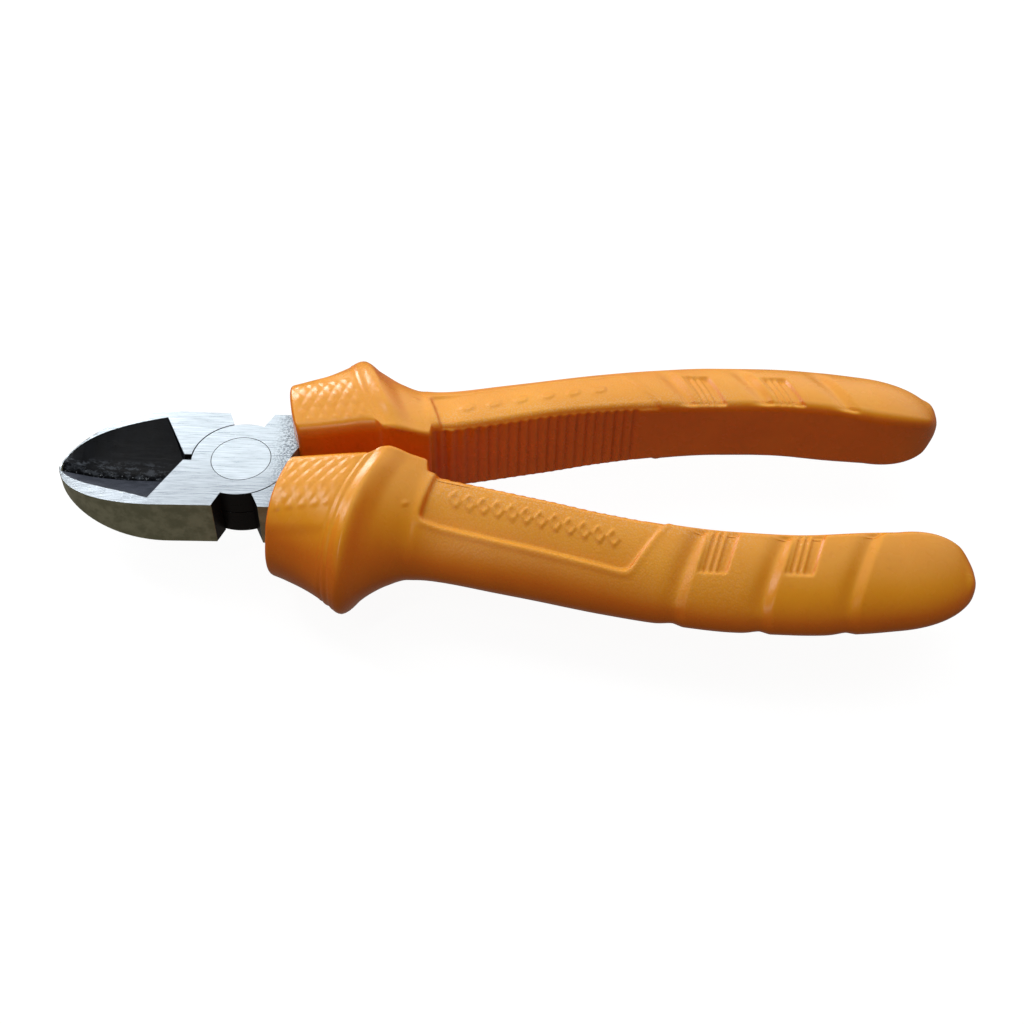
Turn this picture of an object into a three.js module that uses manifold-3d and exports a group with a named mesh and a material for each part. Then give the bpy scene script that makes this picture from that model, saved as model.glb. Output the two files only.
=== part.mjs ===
// Diagonal cutting pliers: two equal drop-forged halves lapped over each other, one flush
// rivet that they turn on, and a moulded grip pushed over each tang.
//
// Millimetres. +X runs from the pivot to the handle ends, +Y across the jaws, +Z up.
// The pivot axis is Z, and the origin is the centre of the rivet's lower head.
// Each half is modelled about the mid-plane of the head. The lower blank is the upper one
// turned half a turn about X, and the edges are then ground on both together.

import * as THREE from 'three';
import { mergeVertices } from 'three/addons/utils/BufferGeometryUtils.js';
import Module from 'manifold-3d';

const wasm = await Module();
wasm.setup();

// ---- driving dimensions -------------------------------------------------------------

// head
const HEAD_THICKNESS = 10.5;
const HALF_THICKNESS = HEAD_THICKNESS / 2;
const JAW_HALF_WIDTH = 13.1;
const JAW_FLAT_END_X = -14.5;          // the jaw's side is straight from here to the waist
const NOSE_SHOULDER_X = -27.5;         // the two handles of the curve that rounds the nose
const NOSE_CHEEK = { x: -36.0, y: 6.0 };
const TIP_X = -37.1;
const NOSE_THIN_START_X = -13;         // the faces curve down to the tip from here
const NOSE_THIN_RADIUS = 75;
const NOSE_STEPS = 14;
const PROFILE_MARGIN = 0.5;            // the side profile runs past the plan by this much
const CUTTER_MARGIN = 4;               // how far the solids that only cut run past the jaws
const SIDE_REACH = 60;                 // half the depth of a side view cut across the tool
const JAW_BACK_CORNER = { x: -4.0, y: 12.9 };
const TANG_CORNER = { x: 5.1, y: 12.9 };

// lap joint
const DISC_RADIUS = 9.8;
const DISC_CLEARANCE = 0.25;           // between a disc and the arc it turns in
const LAP_GAP = 0.2;                   // between the two discs
const WAIST_FRONT_ANGLE = 106;         // where the jaw's back edge meets the disc, degrees
const WAIST_REAR_ANGLE = 70;           // where the tang's front edge meets the disc

// cutting edges, ground as a pair: a hollow on the upper face and a shallow vee below
const EDGE_GAP = 0.2;                  // between the closed cutting edges
const EDGE_LAND = 0.7;                 // height of the flat where they meet
const EDGE_DEPTH_Z = -2.15;            // height of the edge over most of its length
const EDGE_RISE_START_X = -22;         // from here it climbs to the tip
const EDGE_RISE = 0.011;               // climb per square millimetre
const EDGE_REAR_X = -11.5;
const EDGE_BEVEL = { width: 1.3, height: 1.45 };     // the steep strip beside the edge
const HOLLOW_CORNER = { x: -16.7, y: 11.3 };         // widest point of the upper hollow
const HOLLOW_TIP_X = -36.6;
const HOLLOW_TAPER = { far: 0.4, near: 0.62 };       // share of its width lost on the way to the tip
const HOLLOW_NOSE_POWER = 5;                         // how late each side rounds in to the tip
const LOWER_VEE_SLOPE = 0.7;
const RELIEF_HALF_WIDTH = 0.8;         // slot between the cutting edge and the disc
const EDGE_STEPS = 18;

// rivet
const RIVET_HEAD_RADIUS = 5.9;
const RIVET_SHAFT_RADIUS = 3.6;
const RIVET_HEAD_LAND = 0.6;
const RIVET_CONE_DEPTH = 2.4;
const RIVET_CLEARANCE = 0.1;
const RIVET_FACETS = 72;
const SEAT_FACETS = 96;                // round the arc that a disc turns in

// tang inside the grip: [x, inner y, outer y, half thickness]
const TANG_STATIONS = [
  [11, 3.6, 12.9, 5.25],
  [15, 4.3, 13.2, 5.25],
  [27, 5.2, 16.6, 4.9],
  [40, 8.6, 19.6, 4.5],
  [60, 14.2, 24.4, 4.2],
  [80, 18.4, 28.2, 4.0],
  [100, 20.2, 30.0, 3.8],
  [114, 20.2, 29.6, 3.6],
  [126, 20.0, 27.6, 3.4],
];
const TANG_STEPS = 22;
const POCKET_GAP = 0.3;                // between a tang and the grip's pocket

// grip: station along the handle, backward lean of the section, inner y, outer y, half
// height, inner edge radius, share of the width that is flat, exponent of the round side
const GRIP_STATIONS = [
  { s: 12.2, lean: 0.45, inner: 2.9, outer: 22.5, half: 10.6, edge: 2.6, flat: 0.36, round: 2.1 },
  { s: 16, lean: 0.47, inner: 2.9, outer: 24.3, half: 11.1, edge: 2.6, flat: 0.36, round: 2.0 },
  { s: 22, lean: 0.53, inner: 3.0, outer: 27.5, half: 12.0, edge: 2.6, flat: 0.31, round: 1.9 },
  { s: 26.6, lean: 0.59, inner: 3.2, outer: 30.3, half: 12.7, edge: 2.6, flat: 0.27, round: 1.9 },
  { s: 28.8, lean: 0.62, inner: 3.2, outer: 31.7, half: 12.9, edge: 2.4, flat: 0.27, round: 1.9 },
  { s: 30, lean: 0.64, inner: 2.5, outer: 32.0, half: 12.9, edge: 1.0, flat: 0.26, round: 1.9 },
  { s: 32.5, lean: 0.58, inner: 2.6, outer: 29.4, half: 12.4, edge: 1.0, flat: 0.21, round: 1.8 },
  { s: 35.6, lean: 0.46, inner: 2.9, outer: 25.9, half: 11.4, edge: 1.0, flat: 0.16, round: 1.8 },
  { s: 38.6, lean: 0.37, inner: 3.3, outer: 24.4, half: 10.4, edge: 1.0, flat: 0.12, round: 1.8 },
  { s: 39.6, lean: 0.34, inner: 5.6, outer: 24.4, half: 10.0, edge: 1.6, flat: 0.14, round: 1.75 },
  { s: 44, lean: 0.18, inner: 6.9, outer: 25.3, half: 9.2, edge: 2.0, flat: 0.13, round: 1.7 },
  { s: 50, lean: 0.04, inner: 8.5, outer: 26.9, half: 9.15, edge: 2.0, flat: 0.15, round: 1.7 },
  { s: 60, lean: 0, inner: 11.1, outer: 29.1, half: 9.2, edge: 2.0, flat: 0.15, round: 1.7 },
  { s: 72, lean: 0, inner: 13.8, outer: 31.9, half: 8.7, edge: 2.0, flat: 0.15, round: 1.7 },
  { s: 84, lean: 0, inner: 15.7, outer: 34.1, half: 8.1, edge: 2.0, flat: 0.15, round: 1.7 },
  { s: 96, lean: 0, inner: 16.8, outer: 35.5, half: 7.7, edge: 2.0, flat: 0.15, round: 1.7 },
  { s: 108, lean: 0, inner: 17.3, outer: 35.7, half: 7.8, edge: 2.0, flat: 0.15, round: 1.7 },
  { s: 120, lean: 0, inner: 16.4, outer: 34.9, half: 7.9, edge: 2.0, flat: 0.15, round: 1.7 },
  { s: 128, lean: 0, inner: 15.3, outer: 33.7, half: 7.4, edge: 2.2, flat: 0.16, round: 1.8 },
];
const GRIP_LEAN_REACH = 14;            // the lean of a section fades over this distance in y
const GRIP_END_X = 142.8;
const GRIP_END_CENTRE_Y = 22.0;
const GRIP_END_EXPONENT = 2.2;
const GRIP_STATION_STEP = 3.2;         // longest stretch between two rings
const GRIP_END_RINGS = 7;

// ---- materials ----------------------------------------------------------------------

const forgedSteel = new THREE.MeshStandardMaterial({ color: 0xb9bcbf, roughness: 0.38, metalness: 1 });
const rivetSteel = new THREE.MeshStandardMaterial({ color: 0xc4c7c9, roughness: 0.34, metalness: 1 });
const orangeGrip = new THREE.MeshStandardMaterial({ color: 0xe08a22, roughness: 0.45, metalness: 0 });

// ---- solids -------------------------------------------------------------------------

// A closed geometry as a solid that can be joined and cut.
function solid(geometry) {
  const bare = geometry.index ? geometry.toNonIndexed() : geometry.clone();
  bare.deleteAttribute('normal');
  bare.deleteAttribute('uv');
  const merged = mergeVertices(bare, 1e-5);
  const vertProperties = new Float32Array(merged.attributes.position.array);
  const triVerts = new Uint32Array(merged.index.array);
  return new wasm.Manifold(new wasm.Mesh({ numProp: 3, vertProperties, triVerts }));
}

// A solid back as a geometry.
function geometryOf(shape) {
  const mesh = shape.getMesh();
  const geometry = new THREE.BufferGeometry();
  geometry.setAttribute('position', new THREE.BufferAttribute(new Float32Array(mesh.vertProperties), 3));
  geometry.setIndex(new THREE.BufferAttribute(new Uint32Array(mesh.triVerts), 1));
  geometry.computeVertexNormals();
  return geometry;
}

// A plan outline pulled up from zLow to zHigh.
function prism(shape, zLow, zHigh, curveSegments = 24) {
  const options = { depth: zHigh - zLow, bevelEnabled: false, curveSegments };
  return new THREE.ExtrudeGeometry(shape, options).translate(0, 0, zLow);
}

function shapeFrom(points) {
  return new THREE.Shape(points.map(([x, y]) => new THREE.Vector2(x, y)));
}

// A closed skin over rings of equal point count, each end closed by a fan.
function loft(rings) {
  const count = rings[0].length;
  const points = rings.flat();
  const centre = (ring) => ring.reduce((sum, p) => sum.add(p), new THREE.Vector3()).divideScalar(count);
  const first = points.push(centre(rings[0])) - 1;
  const last = points.push(centre(rings[rings.length - 1])) - 1;
  const faces = [];
  for (let ring = 0; ring + 1 < rings.length; ring += 1) {
    for (let i = 0; i < count; i += 1) {
      const a = ring * count + i;
      const b = ring * count + ((i + 1) % count);
      faces.push(a, b + count, b, a, a + count, b + count);
    }
  }
  const lastRing = (rings.length - 1) * count;
  for (let i = 0; i < count; i += 1) {
    const next = (i + 1) % count;
    faces.push(first, i, next);
    faces.push(last, lastRing + next, lastRing + i);
  }
  const geometry = new THREE.BufferGeometry().setFromPoints(points);
  geometry.setIndex(faces);
  return geometry;
}

// Value of a table's column at x, on the smooth monotone curve through its rows.
function smoothAt(table, key, value, x) {
  const last = table.length - 1;
  let i = 0;
  while (i < last - 1 && x > table[i + 1][key]) i += 1;
  const slope = (n) => (table[n + 1][value] - table[n][value]) / (table[n + 1][key] - table[n][key]);
  const tangent = (n) => {
    if (n === 0) return slope(0);
    if (n === last) return slope(last - 1);
    const before = slope(n - 1);
    const after = slope(n);
    return before * after <= 0 ? 0 : (2 * before * after) / (before + after);
  };
  const width = table[i + 1][key] - table[i][key];
  const t = Math.min(Math.max((x - table[i][key]) / width, 0), 1);
  const startWeight = 1 + t * t * (2 * t - 3);
  const startBend = t * (1 - t) * (1 - t) * width;
  const endBend = t * t * (t - 1) * width;
  const held = startWeight * table[i][value] + (1 - startWeight) * table[i + 1][value];
  return held + startBend * tangent(i) + endBend * tangent(i + 1);
}

// ---- forged half --------------------------------------------------------------------

const radians = THREE.MathUtils.degToRad;

// The point of the disc's rim at an angle from +X, in degrees.
function onDisc(degrees) {
  return [DISC_RADIUS * Math.cos(radians(degrees)), DISC_RADIUS * Math.sin(radians(degrees))];
}

// Both long sides of the tang, from the guard to its end: inner or outer.
function tangSide(column, grow) {
  const side = [];
  const startX = TANG_STATIONS[0][0];
  const endX = TANG_STATIONS[TANG_STATIONS.length - 1][0] + grow;
  const away = column === 1 ? -grow : grow;
  for (let step = 0; step <= TANG_STEPS; step += 1) {
    const x = startX + ((endX - startX) * step) / TANG_STEPS;
    side.push([x, smoothAt(TANG_STATIONS, 0, column, x) + away]);
  }
  return side;
}

// Plan outline of the upper level: near jaw, disc and far tang in one closed line.
function forgingOutline() {
  const shape = new THREE.Shape();
  const edgeY = -EDGE_GAP / 2;
  const slotAngle = THREE.MathUtils.radToDeg(Math.asin(RELIEF_HALF_WIDTH / DISC_RADIUS));
  const reliefAngle = 180 + slotAngle;
  const tangInner = tangSide(1, 0).reverse();
  const tangOuter = tangSide(2, 0);

  shape.moveTo(TIP_X, edgeY);
  shape.lineTo(EDGE_REAR_X, edgeY);
  shape.lineTo(EDGE_REAR_X, -RELIEF_HALF_WIDTH);
  shape.lineTo(...onDisc(reliefAngle));
  shape.absarc(0, 0, DISC_RADIUS, radians(reliefAngle), radians(WAIST_REAR_ANGLE), true);
  shape.lineTo(TANG_CORNER.x, TANG_CORNER.y);
  tangOuter.forEach(([x, y]) => shape.lineTo(x, y));
  tangInner.forEach(([x, y]) => shape.lineTo(x, y));
  shape.lineTo(...onDisc(slotAngle));
  shape.absarc(0, 0, DISC_RADIUS, radians(slotAngle), radians(-WAIST_FRONT_ANGLE), true);
  shape.lineTo(JAW_BACK_CORNER.x, -JAW_BACK_CORNER.y);
  shape.lineTo(JAW_FLAT_END_X, -JAW_HALF_WIDTH);
  shape.bezierCurveTo(NOSE_SHOULDER_X, -JAW_HALF_WIDTH, NOSE_CHEEK.x, -NOSE_CHEEK.y, TIP_X, edgeY);
  return shape;
}

// Half the thickness of the jaws at x: even over the joint, less towards the tip.
function jawHalfThickness(x) {
  const run = Math.max(NOSE_THIN_START_X - x, 0);
  return HALF_THICKNESS - NOSE_THIN_RADIUS + Math.sqrt(NOSE_THIN_RADIUS ** 2 - run ** 2);
}

// Side view of the half: flat over the joint, curved down to the tip, thinner tang.
function sideProfile() {
  const upper = TANG_STATIONS.slice(1).reverse().map(([x, , , half]) => [x, half]);
  upper[0][0] += PROFILE_MARGIN;
  for (let step = 0; step <= NOSE_STEPS; step += 1) {
    const x = NOSE_THIN_START_X + ((TIP_X - PROFILE_MARGIN - NOSE_THIN_START_X) * step) / NOSE_STEPS;
    upper.push([x, jawHalfThickness(x)]);
  }
  const lower = upper.map(([x, z]) => [x, -z]).reverse();
  return shapeFrom([...upper, ...lower]);
}

// Height of the line where the two cutting edges meet.
function edgeHeight(x) {
  return EDGE_DEPTH_Z + EDGE_RISE * Math.max(EDGE_RISE_START_X - x, 0) ** 2;
}

// Half the width of the upper hollow where it breaks through the face, on one side.
function hollowHalfWidth(x, taper) {
  const run = (HOLLOW_CORNER.x - x) / (HOLLOW_CORNER.x - HOLLOW_TIP_X);
  const along = Math.min(Math.max(run, 0), 1);
  return HOLLOW_CORNER.y * (1 - taper * along) * Math.sqrt(1 - along ** HOLLOW_NOSE_POWER);
}

// One side of a section of the upper hollow: the steep strip beside the edge, the wide bevel.
function hollowSide(x, taper) {
  const least = 0.02;
  const strip = [EDGE_BEVEL.width, edgeHeight(x) + EDGE_BEVEL.height];
  const half = Math.max(hollowHalfWidth(x, taper), EDGE_BEVEL.width + 5 * least);
  const rim = Math.max(jawHalfThickness(x), strip[1] + least);
  const slope = (rim - strip[1]) / (half - EDGE_BEVEL.width);
  return [strip, [half + 1, rim + slope], [half + 1, HEAD_THICKNESS]];
}

function hollowSection(x) {
  const far = hollowSide(x, HOLLOW_TAPER.far);
  const near = hollowSide(x, HOLLOW_TAPER.near).map(([y, z]) => [-y, z]).reverse();
  return [...near, [0, edgeHeight(x)], ...far];
}

// The ground hollow over both cutting edges, ending in a steep wall at the rear.
function upperHollow() {
  const startX = EDGE_REAR_X + 1;
  const rings = [];
  for (let step = 0; step <= EDGE_STEPS; step += 1) {
    const x = startX + (HOLLOW_TIP_X - startX) * Math.sin((Math.PI / 2) * (step / EDGE_STEPS));
    rings.push(hollowSection(x).map(([y, z]) => new THREE.Vector3(x, y, z)));
  }
  const run = (HOLLOW_CORNER.x - EDGE_REAR_X) / (HOLLOW_CORNER.y - RELIEF_HALF_WIDTH);
  const wideY = JAW_HALF_WIDTH + CUTTER_MARGIN;
  const wideX = EDGE_REAR_X + run * (wideY - RELIEF_HALF_WIDTH);
  const inFrontOfWall = shapeFrom([
    [EDGE_REAR_X, -RELIEF_HALF_WIDTH],
    [EDGE_REAR_X, RELIEF_HALF_WIDTH],
    [wideX, wideY],
    [TIP_X - CUTTER_MARGIN, wideY],
    [TIP_X - CUTTER_MARGIN, -wideY],
    [wideX, -wideY],
  ]);
  const column = prism(inFrontOfWall, -HEAD_THICKNESS, 2 * HEAD_THICKNESS);
  return solid(loft(rings)).intersect(solid(column));
}

// The shallow vee under the cutting edges.
function lowerVee() {
  const rings = [];
  for (let step = 0; step <= EDGE_STEPS; step += 1) {
    const x = EDGE_REAR_X + ((TIP_X - EDGE_REAR_X) * step) / EDGE_STEPS;
    const top = edgeHeight(x) - EDGE_LAND;
    const half = (top + HEAD_THICKNESS) / LOWER_VEE_SLOPE;
    const section = [[0, top], [-half, -HEAD_THICKNESS], [half, -HEAD_THICKNESS]];
    rings.push(section.map(([y, z]) => new THREE.Vector3(x, y, z)));
  }
  return solid(loft(rings));
}

// The rivet's outline turned about Z, larger all over by grow.
function rivetBody(grow, overshoot) {
  const headZ = HALF_THICKNESS + overshoot;
  const landZ = HALF_THICKNESS - RIVET_HEAD_LAND;
  const coneZ = landZ - RIVET_CONE_DEPTH;
  const upper = [
    [RIVET_SHAFT_RADIUS + grow, coneZ],
    [RIVET_HEAD_RADIUS + grow, landZ],
    [RIVET_HEAD_RADIUS + grow, headZ],
    [0, headZ],
  ];
  const lower = upper.map(([r, z]) => [r, -z]).reverse();
  const profile = [...lower, ...upper].map(([r, z]) => new THREE.Vector2(r, z));
  return new THREE.LatheGeometry(profile, RIVET_FACETS).rotateX(Math.PI / 2);
}

// A half as forged and milled, before the edges are ground: the upper one.
function forgingBlank() {
  const block = solid(prism(forgingOutline(), -2 * HALF_THICKNESS, 2 * HALF_THICKNESS));
  const side = prism(sideProfile(), -SIDE_REACH, SIDE_REACH).rotateX(Math.PI / 2);
  const seatRadius = DISC_RADIUS + DISC_CLEARANCE;
  const seat = new THREE.CylinderGeometry(seatRadius, seatRadius, HEAD_THICKNESS, SEAT_FACETS);
  seat.rotateX(Math.PI / 2).translate(0, 0, (LAP_GAP - HEAD_THICKNESS) / 2);
  return block
    .intersect(solid(side))
    .subtract(solid(seat))
    .subtract(solid(rivetBody(RIVET_CLEARANCE, 1)));
}

// Both halves with their edges ground; the lower blank is the upper one turned over.
function forgedHalves() {
  const blank = forgingBlank();
  const hollow = upperHollow();
  const vee = lowerVee();
  return [blank, blank.rotate([180, 0, 0])].map((half) => half.subtract(hollow).subtract(vee));
}

// ---- grip ---------------------------------------------------------------------------

// One section of the grip: a flat inner side with rounded edges and a bulging outer side.
function gripSection({ inner, outer, half, edge, flat, round }) {
  const edgeSteps = 3;
  const outerSteps = 9;
  const flatEnd = inner + Math.max(edge, flat * (outer - inner));
  const upper = [];
  for (let i = 0; i <= edgeSteps; i += 1) {
    const angle = (Math.PI / 2) * (i / edgeSteps);
    upper.push([inner + edge * (1 - Math.cos(angle)), half - edge * (1 - Math.sin(angle))]);
  }
  for (let i = 0; i <= outerSteps; i += 1) {
    const angle = (Math.PI / 2) * (i / outerSteps);
    const along = Math.sin(angle) ** (2 / round);
    const up = Math.cos(angle) ** (2 / round);
    upper.push([flatEnd + (outer - flatEnd) * along, half * up]);
  }
  const lower = upper.slice(0, -1).map(([y, z]) => [y, -z]).reverse();
  return [...upper, ...lower];
}

// The section placed on the handle, leaning back near the guard.
function placedSection(s, lean, points) {
  return points.map(([y, z]) => {
    const back = lean * GRIP_LEAN_REACH * (1 - Math.exp(-y / GRIP_LEAN_REACH));
    return new THREE.Vector3(s - back, y, z);
  });
}

function gripSizesAt(s) {
  const sizes = {};
  Object.keys(GRIP_STATIONS[0]).forEach((key) => {
    sizes[key] = key === 's' ? s : smoothAt(GRIP_STATIONS, 's', key, s);
  });
  return sizes;
}

function gripStation(s) {
  const sizes = gripSizesAt(s);
  return placedSection(s, sizes.lean, gripSection(sizes));
}

// The closed rounded end: the last section drawn in along a superellipse.
function gripEnd() {
  const last = GRIP_STATIONS[GRIP_STATIONS.length - 1];
  const section = gripSection(last);
  const middle = (last.inner + last.outer) / 2;
  const rings = [];
  for (let i = 1; i <= GRIP_END_RINGS; i += 1) {
    const t = Math.sin((Math.PI / 2) * (i / (GRIP_END_RINGS + 0.4)));
    const shrink = (1 - t ** GRIP_END_EXPONENT) ** (1 / GRIP_END_EXPONENT);
    const drift = (GRIP_END_CENTRE_Y - middle) * t;
    const ring = section.map(([y, z]) => [middle + drift + (y - middle) * shrink, z * shrink]);
    rings.push(placedSection(last.s + (GRIP_END_X - last.s) * t, 0, ring));
  }
  return rings;
}

// The pocket that the tang fills, open at the guard's front face.
function tangPocket() {
  const upper = tangSide(2, POCKET_GAP);
  const lower = tangSide(1, POCKET_GAP).reverse();
  const front = [[0, lower[lower.length - 1][1]], [0, upper[0][1]]];
  const plan = prism(shapeFrom([...front, ...upper, ...lower]), -HEAD_THICKNESS, HEAD_THICKNESS);
  const rows = TANG_STATIONS.map(([x, , , half]) => [x, half + POCKET_GAP]);
  rows[rows.length - 1][0] += 2 * POCKET_GAP;
  rows.unshift([0, HALF_THICKNESS + POCKET_GAP]);
  const outline = [...rows, ...rows.map(([x, z]) => [x, -z]).reverse()];
  const side = prism(shapeFrom(outline.reverse()), -SIDE_REACH, SIDE_REACH).rotateX(Math.PI / 2);
  return solid(plan).intersect(solid(side));
}

function grip() {
  const rings = [];
  for (let row = 0; row + 1 < GRIP_STATIONS.length; row += 1) {
    const from = GRIP_STATIONS[row].s;
    const to = GRIP_STATIONS[row + 1].s;
    const parts = Math.ceil((to - from) / GRIP_STATION_STEP);
    for (let part = 0; part < parts; part += 1) rings.push(gripStation(from + ((to - from) * part) / parts));
  }
  rings.push(gripStation(GRIP_STATIONS[GRIP_STATIONS.length - 1].s));
  rings.push(...gripEnd());
  return solid(loft(rings)).subtract(tangPocket());
}

// ---- assembly -----------------------------------------------------------------------

function named(name, geometry, material) {
  const mesh = new THREE.Mesh(geometry, material);
  mesh.name = name;
  return mesh;
}

const [upperForging, lowerForging] = forgedHalves();
const gripGeometry = geometryOf(grip());

// The upper half holds the near jaw and the far handle; the rivet is set in it.
const upperHalf = new THREE.Group();
upperHalf.add(named('forged_half_upper', geometryOf(upperForging), forgedSteel));
upperHalf.add(named('pivot_rivet', rivetBody(0, 0), rivetSteel));
upperHalf.add(named('grip_upper_half', gripGeometry, orangeGrip));

// The lower half turns about the rivet to open. Its grip is the same moulding turned over.
const lowerHalf = new THREE.Group();
lowerHalf.add(named('forged_half_lower', geometryOf(lowerForging), forgedSteel));
const lowerGrip = named('grip_lower_half', gripGeometry, orangeGrip);
lowerGrip.rotation.x = Math.PI;
lowerHalf.add(lowerGrip);

const pliers = new THREE.Group();
pliers.position.z = HALF_THICKNESS;
pliers.add(upperHalf, lowerHalf);

export default pliers;
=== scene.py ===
from math import cos, pi, radians, sin

import bpy
import numpy as np
from mathutils import Matrix, Vector


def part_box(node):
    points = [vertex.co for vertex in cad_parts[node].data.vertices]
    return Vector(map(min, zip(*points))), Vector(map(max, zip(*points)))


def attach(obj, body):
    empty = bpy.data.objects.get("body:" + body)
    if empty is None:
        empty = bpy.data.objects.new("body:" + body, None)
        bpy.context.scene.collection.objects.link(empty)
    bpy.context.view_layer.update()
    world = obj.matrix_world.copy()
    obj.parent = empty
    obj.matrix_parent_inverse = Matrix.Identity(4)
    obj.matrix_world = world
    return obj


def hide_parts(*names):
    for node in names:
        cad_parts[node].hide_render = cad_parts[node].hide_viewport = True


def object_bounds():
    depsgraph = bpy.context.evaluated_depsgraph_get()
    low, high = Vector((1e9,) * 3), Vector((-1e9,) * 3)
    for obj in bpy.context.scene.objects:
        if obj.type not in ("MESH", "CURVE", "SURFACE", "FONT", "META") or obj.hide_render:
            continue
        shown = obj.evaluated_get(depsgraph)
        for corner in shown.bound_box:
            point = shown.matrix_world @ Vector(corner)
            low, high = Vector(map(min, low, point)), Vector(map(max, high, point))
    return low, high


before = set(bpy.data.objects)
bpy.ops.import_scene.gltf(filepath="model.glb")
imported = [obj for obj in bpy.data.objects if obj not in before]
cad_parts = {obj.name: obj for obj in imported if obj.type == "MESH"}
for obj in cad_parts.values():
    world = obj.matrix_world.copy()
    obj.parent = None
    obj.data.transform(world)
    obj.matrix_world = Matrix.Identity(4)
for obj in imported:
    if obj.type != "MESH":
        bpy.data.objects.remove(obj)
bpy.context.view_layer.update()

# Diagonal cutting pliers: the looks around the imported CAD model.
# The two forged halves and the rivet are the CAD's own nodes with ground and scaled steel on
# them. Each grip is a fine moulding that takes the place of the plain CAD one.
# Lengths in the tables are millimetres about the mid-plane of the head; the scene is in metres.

MM = 0.001
rivet_low, rivet_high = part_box("pivot_rivet")
MID_Z = (rivet_low.z + rivet_high.z) / 2

# ---- camera -------------------------------------------------------------------------

CAMERA_AIM = Vector((0.05423, -0.00744, MID_Z))
CAMERA_DISTANCE = 0.2926
CAMERA_ELEVATION = radians(47.19)
CAMERA_AZIMUTH = radians(0.59)
CAMERA_ROLL = radians(1.29)
CAMERA_LENS = 51.97          # millimetres, on a 36 mm wide sensor


def make_camera():
    """The camera on its sphere round the aim point, turned about its own axis by the roll."""
    back = Vector((
        sin(CAMERA_AZIMUTH) * cos(CAMERA_ELEVATION),
        -cos(CAMERA_AZIMUTH) * cos(CAMERA_ELEVATION),
        sin(CAMERA_ELEVATION),
    ))
    level = Vector((cos(CAMERA_AZIMUTH), sin(CAMERA_AZIMUTH), 0))
    upward = back.cross(level)
    right = cos(CAMERA_ROLL) * level + sin(CAMERA_ROLL) * upward
    up = back.cross(right)
    camera = bpy.data.objects.new("camera", bpy.data.cameras.new("camera"))
    camera.data.sensor_width = 36
    camera.data.lens = CAMERA_LENS
    camera.data.clip_start = 0.01
    axes = Matrix((right, up, back)).transposed().to_4x4()
    camera.matrix_world = Matrix.Translation(CAMERA_AIM + CAMERA_DISTANCE * back) @ axes
    bpy.context.scene.collection.objects.link(camera)
    bpy.context.scene.camera = camera


# ---- grip: the moulding's sections --------------------------------------------------

# Station along the handle, backward lean, inner y, outer y, half height, inner edge radius,
# share of the width that is flat, exponent of the round outer side.
GRIP_COLUMNS = ("s", "lean", "inner", "outer", "half", "edge", "flat", "round")
GRIP_STATIONS = np.array((
    (12.2, 0.45, 2.9, 22.5, 10.6, 2.6, 0.36, 2.1),
    (16, 0.47, 2.9, 24.3, 11.1, 2.6, 0.36, 2.0),
    (22, 0.53, 3.0, 27.5, 12.0, 2.6, 0.31, 1.9),
    (26.6, 0.59, 3.2, 30.3, 12.7, 2.6, 0.27, 1.9),
    (28.8, 0.62, 3.2, 31.7, 12.9, 2.4, 0.27, 1.9),
    (30, 0.64, 2.5, 32.0, 12.9, 1.0, 0.26, 1.9),
    (32.5, 0.58, 2.6, 29.4, 12.4, 1.0, 0.21, 1.8),
    (35.6, 0.46, 2.9, 25.9, 11.4, 1.0, 0.16, 1.8),
    (38.6, 0.37, 3.3, 24.4, 10.4, 1.0, 0.12, 1.8),
    (39.6, 0.34, 5.6, 24.4, 10.0, 1.6, 0.14, 1.75),
    (44, 0.18, 6.9, 25.3, 9.2, 2.0, 0.13, 1.7),
    (50, 0.04, 8.5, 26.9, 9.15, 2.0, 0.15, 1.7),
    (60, 0, 11.1, 29.1, 9.2, 2.0, 0.15, 1.7),
    (72, 0, 13.8, 31.9, 8.7, 2.0, 0.15, 1.7),
    (84, 0, 15.7, 34.1, 8.1, 2.0, 0.15, 1.7),
    (96, 0, 16.8, 35.5, 7.7, 2.0, 0.15, 1.7),
    (108, 0, 17.3, 35.7, 7.8, 2.0, 0.15, 1.7),
    (120, 0, 16.4, 34.9, 7.9, 2.0, 0.15, 1.7),
    (128, 0, 15.3, 33.7, 7.4, 2.2, 0.16, 1.8),
))
LEAN_REACH = 14              # how far across the section the backward lean builds up
END_X = 142.8
END_CENTRE_Y = 22.0
END_EXPONENT = 2.2           # how blunt the end is, seen from the side
END_SECTION_EXPONENT = 2.7   # how square the section is at the very end
END_SQUARING_START = 0.8     # share of the end's length where the section starts to turn squarer
END_REACH = 0.995            # the last ring lies just short of the tip, so that it keeps a size
FRONT_ROUND = 0.9            # radius of the rim round the guard's front face
FRONT_ROUND_RINGS = 5
STATION_STEP = 0.34
END_RINGS = 34
WALL_STEPS = 20              # points up half the inner face
EDGE_STEPS = 12              # round the inner edge
FLAT_STEPS = 22              # over the flat of the upper face
SIDE_STEPS = 62              # round the outer side


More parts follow.
